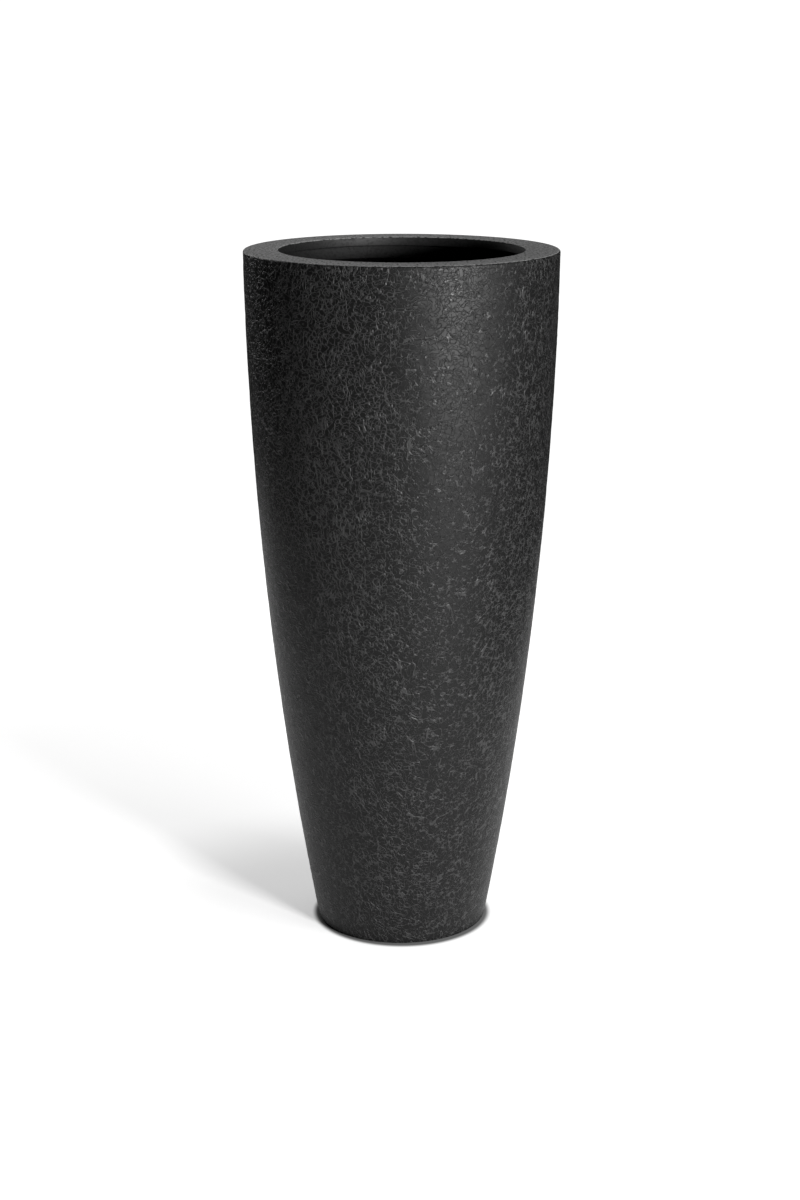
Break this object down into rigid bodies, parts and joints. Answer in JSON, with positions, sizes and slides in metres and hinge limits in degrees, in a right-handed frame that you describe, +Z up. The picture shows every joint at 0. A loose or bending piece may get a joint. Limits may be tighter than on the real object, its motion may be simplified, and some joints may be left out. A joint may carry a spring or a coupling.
{
  "type": "tall round planter",
  "caption": "Tall round tapered fibreglass planter with a flat inturned rim, a plugged drain hole and a lift-out planting shelf.",
  "frame": {"origin": "centre of the footprint, on the ground under the foot pads", "axes": "+Z up along the planter's axis, +X towards the first shelf bracket, +Y towards the back"},
  "size_m": [0.4, 0.4, 0.9],
  "materials": {
    "crinkled_laminate": "satin",
    "rim_laminate": "matte",
    "inner_laminate": "matte",
    "shelf_plastic": "matte",
    "plug_rubber": "matte",
    "pad_rubber": "matte"
  },
  "bodies": {
    "planter": {"body_shell": "crinkled_laminate", "rim_ring": "rim_laminate", "base_plate": "inner_laminate", "shelf_bracket_1": "inner_laminate", "shelf_bracket_2": "inner_laminate", "shelf_bracket_3": "inner_laminate", "foot_pad_1": "pad_rubber", "foot_pad_2": "pad_rubber", "foot_pad_3": "pad_rubber", "foot_pad_4": "pad_rubber"},
    "shelf": {"planting_shelf": "shelf_plastic"},
    "plug": {"drain_plug": "plug_rubber"}
  },
  "joints": [
    {"name": "shelf_lift", "type": "slide", "parent": "planter", "child": "shelf", "axis": [0, 0, 1], "range_m": [0, 0.36]},
    {"name": "plug_pull", "type": "slide", "parent": "planter", "child": "plug", "axis": [0, 0, 1], "range_m": [0, 0.06]}
  ]
}
